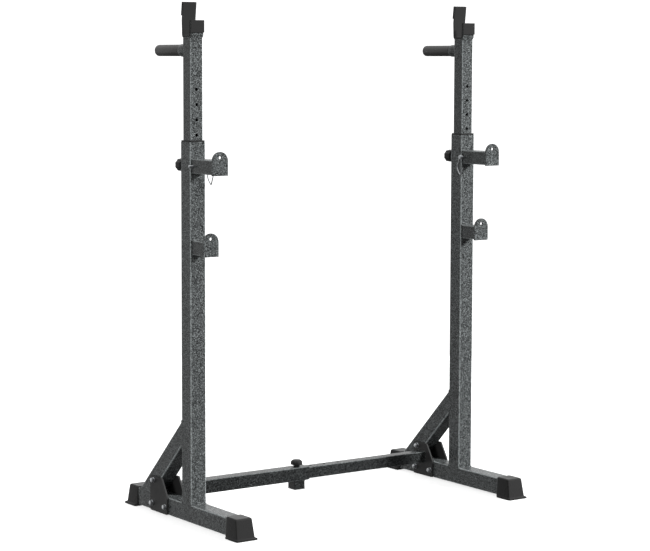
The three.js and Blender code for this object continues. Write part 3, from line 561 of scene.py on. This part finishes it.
def threaded_rod(diameter, bottom, top, centre, axis, steps=36):
    """A rod with a thread, between two places along an axis, in millimetres.

    Point (z, a) has the radius R - depth * (1 - cos(2 pi z / pitch - a)) / 2, which is a ridge that climbs
    by one pitch in each turn. Both ends lose half a millimetre of their radius.
    """
    first, second = across(axis)
    angle = np.linspace(0, 2 * np.pi, steps, endpoint=False)[None, :]
    along = np.linspace(bottom, top, int((top - bottom) / THREAD_PITCH * 8) + 8)[:, None]
    ridge = (1 - np.cos(2 * np.pi * along / THREAD_PITCH - angle)) / 2
    taper = np.clip(0.5 - np.minimum(along - bottom, top - along), 0, 0.5)
    radius = diameter / 2 - THREAD_DEPTH * ridge - taper
    radius = np.concatenate([0 * angle, radius, 0 * angle])
    along = np.concatenate([along[:1], along, along[-1:]]) + 0 * angle
    ring = np.cos(angle)[0, :, None] * first + np.sin(angle)[0, :, None] * second
    points = centre + radius[..., None] * MM * ring[None] + along[..., None] * MM * axis
    return points.reshape(-1, 3), grid_faces(len(radius), steps)


# %% Bolts with washers and nuts
BOLT_DIAMETER = 8.0
WASHER_RADIUS = 8.0
WASHER_THICKNESS = 1.6
HEAD_HEIGHT = 5.5
NUT_HEIGHT = 6.5
BOLT_TAIL = 3.0


def washer(bottom, centre, axis):
    """A flat ring with softly rounded edges."""
    top = bottom + WASHER_THICKNESS
    profile = [(0, bottom, 0), (WASHER_RADIUS, bottom, 0.3), (WASHER_RADIUS, top, 0.4), (0, top, 0)]
    return turned(eased(profile), centre, axis)


def gusset_bolt(node, outer):
    """One bolt through both plates. Its head points outwards from the stand."""
    axis = outer * X
    centre = middle_of(node)
    head_top = size_of(node)[0] / 2
    head_bottom = head_top - HEAD_HEIGHT
    nut_bottom = BOLT_TAIL - head_top
    nut_top = nut_bottom + NUT_HEIGHT
    thread_end = nut_top + WASHER_THICKNESS
    shank_end, shank_radius = thread_end - 1, BOLT_DIAMETER / 2
    shank = [(0, shank_end), (shank_radius, shank_end), (shank_radius, head_bottom), (0, head_bottom)]
    return dressed(
        node,
        hexagon_nut(head_bottom, head_top, centre, axis),
        washer(head_bottom - WASHER_THICKNESS, centre, axis),
        turned(shank, centre, axis, 32),
        washer(nut_top, centre, axis),
        hexagon_nut(nut_bottom, nut_top, centre, axis),
        threaded_rod(BOLT_DIAMETER, -head_top, thread_end, centre, axis),
    )


for side, outer in sides.items():
    for place in ("front", "rear", "brace"):
        gusset_bolt(f"{side}_{place}_bolt", outer)

# %% [markdown]
# ## Hand grips
#
# A grip lets one hand lift the post while the other pulls the plunger. It is a thin tube, welded to the back
# of the post with a wide collar, and a rubber sleeve with a closed round end is pushed over it. The sleeve's
# mouth is turned in to a narrow neck, and the shadow between it and the collar shows as a dark ring.

# %% Collar, core and sleeve
CORE_RADIUS = 12.5
CORE_WALL = 2.0
COLLAR_LENGTH = 32.0
GRIP_WALL_AT_END = 4.0


def start_of(node):
    """Point on the axis of a piece along Y, at its front end."""
    low, _ = box_of(node)
    middle = middle_of(node)
    return np.array([middle[0], low[1], middle[2]])


for side in sides:
    node = f"{side}_handle_bar"
    collar = size_of(node)[2] / 2
    bore, collar_end, core_end = CORE_RADIUS - CORE_WALL, COLLAR_LENGTH, size_of(node)[1]
    corners = [(bore, 0, 0), (collar, 0, 0.3), (collar, collar_end, 1.2), (CORE_RADIUS, collar_end, 0.4)]
    corners += [(CORE_RADIUS, core_end, 0.4), (bore, core_end, 0.3), (bore, 0, 0)]
    dressed(node, turned(eased(corners), start_of(node), Y, 64))

    node = f"{side}_handle_grip"
    radius, length = size_of(node)[2] / 2, size_of(node)[1]
    bore, floor = CORE_RADIUS + 0.3, length - GRIP_WALL_AT_END
    neck, neck_end = bore + 1.5, 2.6
    corners = [(0, floor, 0), (bore, floor, 0.5), (bore, 0, 0.4), (neck, 0, 0.4), (neck, neck_end, 0.6)]
    corners += [(radius, neck_end + 0.4, 1.2), (radius, length, 5.5), (0, length, 0)]
    dressed(node, turned(eased(corners, 8), start_of(node), Y, 72))
print("grips:", round(2 * radius, 1), "mm across,", round(length, 1), "mm long")

# %% [markdown]
# ## Spring plungers
#
# The plunger holds the post at its height: a spring pushes a pin through a hole of the post, and the lobed
# knob pulls it back. The spring sits in a small turned housing that is welded to the back of the upright.
# The housing is only seen from behind, but the knob shows beside the upright in the photograph. Pulled back,
# the plunger presses its spring together. The spring gets a mesh of its own.

# %% Housing, pin and spring
SPRING_WIRE = 1.2
SPRING_TURNS = 7

for side in sides:
    node = f"{side}_plunger_housing"
    radius, length = size_of(node)[2] / 2, size_of(node)[1]
    bore, hole, floor = 7.0, 4.5, length - 3.0
    corners = [(bore, 0, 0), (radius, 0, 0.3), (radius, length, 1.0), (hole, length, 0.4)]
    corners += [(hole, floor, 0.3), (bore, floor, 0.3), (bore, 0, 0)]
    dressed(node, turned(eased(corners), start_of(node), Y))

    node = f"{side}_plunger_pin"
    radius, length, collar, collar_start, collar_end = 4.0, size_of(node)[1], 6.0, 13.0, 15.5
    corners = [(0, 0, 0), (radius, 0, 1.2), (radius, collar_start, 0.2), (collar, collar_start, 0.4)]
    corners += [(collar, collar_end, 0.4), (radius, collar_end, 0.2), (radius, length, 0.5), (0, length, 0)]
    dressed(node, turned(eased(corners), start_of(node), Y, 36))

    node = f"{side}_plunger_spring"
    low, high = box_of(node)
    middle = middle_of(node)
    coil = size_of(node)[0] / 2 - SPRING_WIRE / 2
    angle = np.linspace(0, 2 * np.pi * SPRING_TURNS, SPRING_TURNS * 28)
    reach = np.linspace(low[1] + SPRING_WIRE / 2 * MM, high[1] - SPRING_WIRE / 2 * MM, len(angle))
    coil_path = [middle[0] + coil * MM * np.cos(angle), reach, middle[2] + coil * MM * np.sin(angle)]
    spring = dressed(node, drawn_wire(np.stack(coil_path, axis=1), Y, SPRING_WIRE / 2 * MM, 10))

    # The plunger's collar presses the spring together, and the housing's end wall holds its rear end.
    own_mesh(spring)

# %% Lobed knobs
LOBE_DEPTH = 1.2
for side in sides:
    node = f"{side}_plunger_knob"
    radius, length = 18.5, size_of(node)[1]
    corners = [(0, 21.3, 0), (4.3, 21.3, 0.4), (4.3, 13, 0.6), (11, 13, 0.8), (11, 0, 0.8)]
    corners += [(radius, 0, 1.3), (radius, length, 3.5), (0, length, 0)]
    dressed(node, turned(eased(corners, 7), start_of(node), Y, 54 * 6, 9, LOBE_DEPTH, (11.5, 14.5)))

node = "crossbar_knob"
radius, height, hub, hub_end = 17.75, size_of(node)[2], 9.0, 5.5
foot = middle_of(node) - Z * height / 2 * MM
corners = [(0, 12.3, 0), (4.3, 12.3, 0.4), (4.3, 0, 0.6), (hub, 0, 0.6), (hub, hub_end, 1.2)]
corners += [(radius, hub_end, 2.3), (radius, height, 9.0), (0, height, 0)]
dressed(node, turned(eased(corners, 9), foot, Z, 42 * 6, 7, LOBE_DEPTH, (9.5, 13.0)))
print("crossbar knob:", round(2 * radius, 1), "mm across,", round(height, 1), "mm high")

# %% [markdown]
# ## Lock pins, wire clips and the crossbar's bolt
#
# The upper arm slips over a stub and is held by a pin through both. Its wire clip hangs from the pin on the
# inner side of the stand: one piece of spring wire with an eye round the pin, a bow and a free hook. The
# crossbar's knob turns a threaded bolt that runs through both tubes into the block below.

# %% Lock pins
PIN_RADIUS = 4.0
PIN_SHOULDER = 6.0
for side, outer in sides.items():
    node = f"{side}_lock_pin"
    length = size_of(node)[0]
    tip = middle_of(node) + outer * X * length / 2 * MM
    head, gap, shoulder = length - 2.0, 3.8, 2.0
    corners = [(0, 0, 0), (PIN_RADIUS, 0, 1.2), (PIN_RADIUS, head - gap - shoulder, 0.3)]
    corners += [(PIN_SHOULDER, head - gap - shoulder, 0.5), (PIN_SHOULDER, head - gap, 0.5)]
    corners += [(PIN_RADIUS, head - gap, 0.2), (PIN_RADIUS, head, 0.2), (PIN_SHOULDER, head, 0.5)]
    corners += [(PIN_SHOULDER, length, 0.9), (0, length, 0)]
    dressed(node, turned(eased(corners), tip, -outer * X, 40))
print("lock pins:", round(length, 1), "mm long")

# %% Wire clips
WIRE_RADIUS = 1.5
WIRE_LENGTH = 51.0
WIRE_BENDS = np.array(
    [(0.2, 0.3), (0.3, 0.47), (0.3, 0.62), (0.2, 0.82), (0.05, 1), (-0.02, 0.97), (-0.14, 0.76), (-0.24, 0.6)]
)
CLIP_SWING = {"left": -np.pi / 25, "right": 0.0}
eye = PIN_RADIUS + 0.4 + WIRE_RADIUS
turn = np.radians(np.linspace(290, 20, 10))
eye_points = np.stack([0 * turn, eye * np.cos(turn), eye * np.sin(turn)], axis=1)
bend_points = np.stack([0 * WIRE_BENDS[:, 0], WIRE_BENDS[:, 0], -WIRE_BENDS[:, 1]], axis=1) * WIRE_LENGTH
hanging = smooth_path(np.concatenate([eye_points, bend_points]), 8, 0.4) * MM
for side in sides:
    node = f"{side}_pin_wire"
    swing = np.array(Matrix.Rotation(CLIP_SWING[side], 3, "X"))
    pin = middle_of(f"{side}_lock_pin")
    path = hanging @ swing.T + np.array([middle_of(node)[0], pin[1], pin[2]])
    from_end = np.minimum(np.arange(len(path)), np.arange(len(path))[::-1])
    dressed(node, drawn_wire(path, X, WIRE_RADIUS * MM * np.where(from_end == 0, 0.7, 1.0), 14))
print("wire clips:", 2 * WIRE_RADIUS, "mm wire, drawn through", len(path), "points")

# %% Crossbar bolt
node = "crossbar_bolt"
foot = middle_of(node) - Z * size_of(node)[2] / 2 * MM
dressed(node, threaded_rod(BOLT_DIAMETER, 0, size_of(node)[2], foot, Z))
print("crossbar bolt:", round(size_of(node)[2], 1), "mm long")

# %% [markdown]
# ## Weld beads
#
# The frame's pieces are welded and then painted, so each joint has a bead under the paint. In a corner the
# bead is a fillet with a slightly round face. Where two tubes of the same width meet, it fills the groove
# between their rolled corners, and then the sides run on without a seam, as they do in the photograph. A
# strip of triangles could hint at it, but only a real bead rounds off the corner and catches the light. Its
# width swells and shrinks a little where the welder moved on.

# %% A bead carried along a joint
BEAD_STEP = 2.6
BEAD_SWELL = 0.06
POINT_SPACING = 0.65


def bead(path, toe_a, toe_b, out, crown, root, closed=False, rounds=7):
    """A shell of a weld bead along a joint.

    At each point P of the path, the bead's face at the share s is P + (1 - s) * toe_a + s * toe_b, raised by
    4 s (1 - s) * crown along the outward direction. The toes lie on the two surfaces, the root is buried
    between them, and all three are vectors in millimetres from P. The toes and the crown swell by 6% every
    2.6 mm.
    """
    vectors = (toe_a, toe_b, out, root)
    toe_a, toe_b, out, root = (np.broadcast_to(vector, path.shape)[:, None] for vector in vectors)
    steps = np.linalg.norm(np.diff(path, axis=0), axis=1)
    along = np.concatenate([[0], np.cumsum(steps)])[:, None, None] / MM
    share = np.linspace(0, 1, rounds)[None, :, None]
    ripple = 1 + BEAD_SWELL * np.cos(2 * np.pi * along / BEAD_STEP + 2 * share * (1 - share))
    face = ((1 - share) * toe_a + share * toe_b + 4 * share * (1 - share) * crown * out) * ripple
    rows = path[:, None] + np.concatenate([face, root], axis=1) * MM
    if not closed:
        ends = [np.repeat(rows[[end]].mean(1, keepdims=True), rounds + 1, 1) for end in (0, -1)]
        rows = np.concatenate([ends[0], rows, ends[1]])
    return rows.reshape(-1, 3), grid_faces(len(rows), rounds + 1, closed)


def fillet(path, first, second, size, depth=0.5, closed=False):
    """A bead in a corner, along two surfaces that run from the joint in two directions."""
    out = first + second
    out = out / np.linalg.norm(out, axis=-1, keepdims=True)
    return bead(path, size * first, size * second, out, 0.15 * size, -depth * (first + second), closed)


def line(start, end):
    """Points of a straight joint, in metres."""
    count = int(np.linalg.norm(end - start) / MM / POINT_SPACING) + 2
    share = np.linspace(0, 1, count)[:, None]
    return start + share * (end - start)


# %% Joints that run round a tube
def round_joint(radius, first, second, start=0.0, end=360.0):
    """Points of an arc round the origin, in metres, and the outward direction at each one."""
    count = int(np.radians(end - start) * radius / POINT_SPACING)
    angle = np.radians(np.linspace(start, end, count, endpoint=end - start < 360))[:, None]
    out = np.cos(angle) * first + np.sin(angle) * second
    return radius * MM * out, out


def square_joint(side, corner, first, second):
    """Points round a square tube of a side and a corner radius, in metres, and the outward directions.

    Each quarter is an arc round a point one corner radius in from the corner, and a straight run to the
    next.
    """
    reach = side / 2 - corner
    quarter_points, quarter_outs = round_joint(corner, first, second, 0, 90)
    count = int(2 * reach / POINT_SPACING)
    run = np.linspace(0, 1, count + 1)[1:-1, None]
    arc = quarter_points + reach * MM * (first + second)
    points = np.concatenate([arc, arc[-1] - run * 2 * reach * MM * first])
    outs = np.concatenate([quarter_outs, np.repeat(quarter_outs[-1:], count - 1, 0)])
    unturned = np.outer(first, first) + np.outer(second, second)
    quarter_turn = np.outer(second, first) - np.outer(first, second)
    turns = [unturned, quarter_turn, -unturned, -quarter_turn]
    return np.concatenate([points @ t.T for t in turns]), np.concatenate([outs @ t.T for t in turns])


def weld(name, body, slot, shells):
    """A piece of weld beads on a body, in the paint of a slot."""
    piece = mesh_object(name, shells, 60)
    piece.data.materials.append(finish_of_slot[slot])
    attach(piece, body)
    print(name, "beads:", len(shells), "faces:", len(piece.data.polygons))
    return piece


# %% Upright, brace and base
TUBE_SIDE = 50.0
TUBE_CORNER = 4.0
DOWN_REAR = (Y - Z) / np.sqrt(2)


def flush_beads(start, end, across_joint, low, high):
    """Two beads that fill the grooves between tubes of one width, on both sides of the stand."""
    shells = []
    for outwards in (-X, X):
        path = line(start, end) + outwards * TUBE_SIDE / 2 * MM
        shells.append(bead(path, low * across_joint, high * across_joint, outwards, 0.2, -2 * outwards))
    return shells


def frame_welds(side):
    """Beads between the upright, the brace and the base tube of one stand."""
    half = (TUBE_SIDE / 2 - 0.1) * MM * X
    base_top = box_of(f"{side}_base_tube")[1][2]
    upright_low, upright_high = box_of(f"{side}_upright_tube")
    _, brace_high = box_of(f"{side}_brace_tube")
    centre = middle_of(f"{side}_upright_tube")
    front = np.array([centre[0], upright_low[1], base_top])
    rear = np.array([centre[0], upright_high[1], base_top])
    top = np.array([centre[0], upright_high[1], brace_high[2]])
    under = top - Z * TUBE_SIDE * np.sqrt(2) * MM
    heel = np.array([centre[0], brace_high[1], base_top])
    crotch = heel - Y * TUBE_SIDE * np.sqrt(2) * MM
    shells = [
        fillet(line(front - half, front + half), -Y, Z, 1.4, TUBE_CORNER),
        fillet(line(rear - half, rear + half), Y, Z, 2.4, TUBE_CORNER),
        fillet(line(top - half, top + half), Z, DOWN_REAR, 3.5, TUBE_CORNER),
        fillet(line(under - half, under + half), -Z, DOWN_REAR, 5.0, TUBE_CORNER),
        fillet(line(heel - half, heel + half), Y, -DOWN_REAR, 3.5, TUBE_CORNER),
        fillet(line(crotch - half, crotch + half), -Y, -DOWN_REAR, 5.0, TUBE_CORNER),
    ]
    shells += flush_beads(front, rear, Z, -TUBE_CORNER - 0.6, 1.2)
    shells += flush_beads(under - Z * 2 * MM, top + Z * 2 * MM, Y, -TUBE_CORNER - 0.6, 1.2)
    shells += flush_beads(crotch - Y * 2 * MM, heel + Y * 2 * MM, Z, -TUBE_CORNER - 0.6, 1.2)
    return shells


# %% Arms, plunger housing and crossbar ends
ARM_SIDE = 40.0
ARM_CORNER = 3.0


def arm_welds(side):
    """Beads between the lower arm and the upright, and between both arms and their plates."""
    ring, out = square_joint(ARM_SIDE, ARM_CORNER, X, Z)
    root = middle_of(f"{side}_lower_arm_tube")
    root[1] = box_of(f"{side}_upright_tube")[0][1]
    shells = [fillet(ring + root, out, -Y, 3.0, closed=True)]
    for arm in ("upper_arm", "lower_arm"):
        end = middle_of(f"{side}_{arm}_tube")
        end[1] = box_of(f"{side}_{arm}_plate")[1][1]
        shells.append(fillet(ring + end, out, Y, 1.9, closed=True))
    return shells


def housing_weld(side):
    """A bead round the plunger's housing, on the back of the upright."""
    ring, out = round_joint(size_of(f"{side}_plunger_housing")[0] / 2, X, Z)
    return fillet(ring + start_of(f"{side}_plunger_housing"), out, Y, 2.2, closed=True)


def crossbar_weld(side, tube, inwards):
    """A bead round an end of the crossbar, on the inner gusset plate."""
    across_tube = size_of(tube)[1]
    ring, out = square_joint(across_tube, ARM_CORNER, Y, Z)
    end = middle_of(tube)
    low, high = box_of(f"{side}_inner_gusset")
    end[0] = high[0] if inwards > 0 else low[0]
    return fillet(ring + end, out, inwards * X, 2.4, closed=True)


for side in sides:
    stand_shells = frame_welds(side) + arm_welds(side) + [housing_weld(side)]
    weld(f"{side}_frame_welds", f"{side}_stand", "frame_paint", stand_shells)
tube_of_side = {"left": "crossbar_outer_tube", "right": "crossbar_inner_tube"}
for side, outer in sides.items():
    shell = crossbar_weld(side, tube_of_side[side], -outer)
    weld(f"{side}_crossbar_weld", f"{side}_stand", "crossbar_paint", [shell])

# %% Collar and cup of each post, and the nut block
POST_SIDE = 40.0
for side in sides:
    _, post_high = box_of(f"{side}_post_tube")
    centre = middle_of(f"{side}_post_tube")
    collar = start_of(f"{side}_handle_bar")
    shells = []
    for start in (35, 215):
        arc, out = round_joint(size_of(f"{side}_handle_bar")[2] / 2, X, Z, start, start + 110)
        shells.append(fillet(arc + collar, out, Y, 2.2))
    for back in (-1.0, 1.0):
        edge = np.array([centre[0], centre[1] + back * POST_SIDE / 2 * MM, post_high[2]])
        path = line(edge - 17 * MM * X, edge + 17 * MM * X)
        outwards = (back * Y - 0.3 * Z) / np.hypot(1, 0.3)
        shells.append(bead(path, -1.8 * Z, 2.3 * back * Y + 5.0 * Z, outwards, 0.7, -3 * back * Y))
    for across_post in (-X, X):
        edge = np.array([centre[0], centre[1], post_high[2]]) + (POST_SIDE / 2 - 0.1) * MM * across_post
        path = line(edge - 16 * MM * Y, edge + 16 * MM * Y)
        shells.append(bead(path, -1.6 * Z, 1.6 * Z, across_post, 0.6, -1.5 * across_post))
    weld(f"{side}_post_welds", f"{side}_post", "frame_paint", shells)

block_low, block_high = box_of("crossbar_nut_block")
shells = []
for end, away in ((block_low[0], -X), (block_high[0], X)):
    edge = np.array([end, middle_of("crossbar_nut_block")[1], box_of("crossbar_outer_tube")[0][2]])
    shells.append(fillet(line(edge - 16 * MM * Y, edge + 16 * MM * Y), away, -Z, 2.5))
weld("nut_block_welds", "left_stand", "crossbar_paint", shells)

# %% [markdown]
# ## Floor, light and camera
#
# The stand is shown like a shop photograph, on white. A soft box stands to the front right, so that the
# faces toward the user are lighter than those toward the left, and the arms throw their shadows down to the
# left. A weak one at the left lights the near corners, and one behind the stand keeps its rear faces
# readable. Gloss comes from the surroundings: a white wall behind the stand, which the sides and the tops of
# the tubes mirror at a flat angle, and a pale ceiling. The soft boxes could be mirrored too, but they would
# burn the tops white in views from behind, so they only give light. The floor gives the stand no light from
# below either. It only catches the shadows. To the camera itself the surroundings are plain white on every
# side.

# %% Floor
FLOOR_RADIUS = 3.0
around = np.linspace(0, 2 * np.pi, 96, endpoint=False)
rim = np.stack([np.cos(around), np.sin(around), 0 * around], axis=1) * FLOOR_RADIUS
floor_data = bpy.data.meshes.new("studio_floor")
floor_data.from_pydata(rim.tolist(), [], [tuple(range(len(rim)))])
floor = bpy.data.objects.new("studio_floor", floor_data)
bpy.context.scene.collection.objects.link(floor)
floor_paint, _, floor_shader = new_finish("pale_floor", grey(0.75), 0.9, 0.0, 0.1)
floor_shader.inputs["Alpha"].default_value = 0.4
floor_data.materials.append(floor_paint)
floor.visible_diffuse = floor.visible_glossy = False
print("floor:", 2 * FLOOR_RADIUS, "m across")

# %% Surroundings
BACKDROP = (0.2, 0.98, 0.0)
SEEN_WHITE = 1.3
world = bpy.data.worlds.new("studio")
bpy.context.scene.world = world
world.use_nodes = True
tree = world.node_tree
direction = tree.nodes.new("ShaderNodeTexCoord").outputs["Generated"]


def facing(target, stops):
    """A grey that depends on how nearly a direction points at a target."""
    product = tree.nodes.new("ShaderNodeVectorMath")
    product.operation = "DOT_PRODUCT"
    product.inputs[1].default_value = target
    tree.links.new(direction, product.inputs[0])
    return toned(tree, product.outputs["Value"], stops)


overhead = facing((0.0, 0.0, 1.0), [(0.0, grey(0.1)), (0.05, grey(0.22)), (0.9, grey(1.0))])
wall = [(0.4, grey(0.0)), (0.6, grey(0.5)), (0.75, grey(0.44)), (0.9, grey(1.0))]
backdrop = facing(BACKDROP, wall)
wall_foot = facing((0.0, 0.0, -1.0), [(0.25, grey(1.0)), (0.42, grey(0.1))])
glow = blended(tree, "LIGHTEN", overhead, blended(tree, "MULTIPLY", backdrop, wall_foot))
camera_ray = tree.nodes.new("ShaderNodeLightPath").outputs["Is Camera Ray"]
seen = blended(tree, "MIX", glow, grey(SEEN_WHITE), camera_ray)
tree.links.new(seen, tree.nodes["Background"].inputs["Color"])
bpy.context.scene.view_settings.view_transform = "Standard"


# %% Lamps
def soft_box(name, target, direction, distance, width, power):
    """A square lamp that shines on a target from a direction and a distance, in metres."""
    lamp = bpy.data.lights.new(name, "AREA")
    lamp.energy = power
    lamp.size = width
    holder = bpy.data.objects.new(name, lamp)
    bpy.context.scene.collection.objects.link(holder)
    along = np.asarray(direction, float) / np.linalg.norm(direction)
    holder.location = target + distance * along
    holder.visible_camera = False
    first, second = across(along)
    holder.rotation_mode = "QUATERNION"
    holder.rotation_quaternion = Matrix(np.stack([first, second, along], axis=1).tolist()).to_quaternion()
    return holder


middle_of_stand = np.array([0.0, 0.0, 0.7])
key = soft_box("key_light", middle_of_stand, (0.676, -0.567, 0.469), 8.0, 1.5, 2220)
edge = soft_box("edge_light", middle_of_stand, (-0.83, -0.55, 0.04), 6.0, 1.0, 170)
fill = soft_box("rear_light", middle_of_stand, (0.15, 0.97, 0.2), 5.0, 2.5, 300)
for lamp in (key, edge, fill):
    lamp.visible_glossy = False

# %% Camera
PHOTO_WIDTH = 650
FOCAL_LENGTH = 2054.89  # in pixels of the photograph, like its width
SENSOR_WIDTH = 36.0
camera_data = bpy.data.cameras.new("camera")
camera = bpy.data.objects.new("camera", camera_data)
bpy.context.scene.collection.objects.link(camera)
bpy.context.scene.camera = camera
camera.location = (-3.43986, -4.83247, 1.29391)
camera.rotation_euler = (np.pi / 2 - 0.0903, 0.0, -0.5856)
camera_data.sensor_width = SENSOR_WIDTH
camera_data.lens = SENSOR_WIDTH * FOCAL_LENGTH / PHOTO_WIDTH
camera_data.shift_x = 0.1
camera_data.shift_y = -0.05
camera_data.clip_start = 0.1
camera_data.clip_end = 200.0
print("camera:", round(camera_data.lens, 1), "mm lens")

# %% [markdown]
#
# Last, the scene is brought up to date.

# %% Bring the scene up to date
bpy.context.view_layer.update()
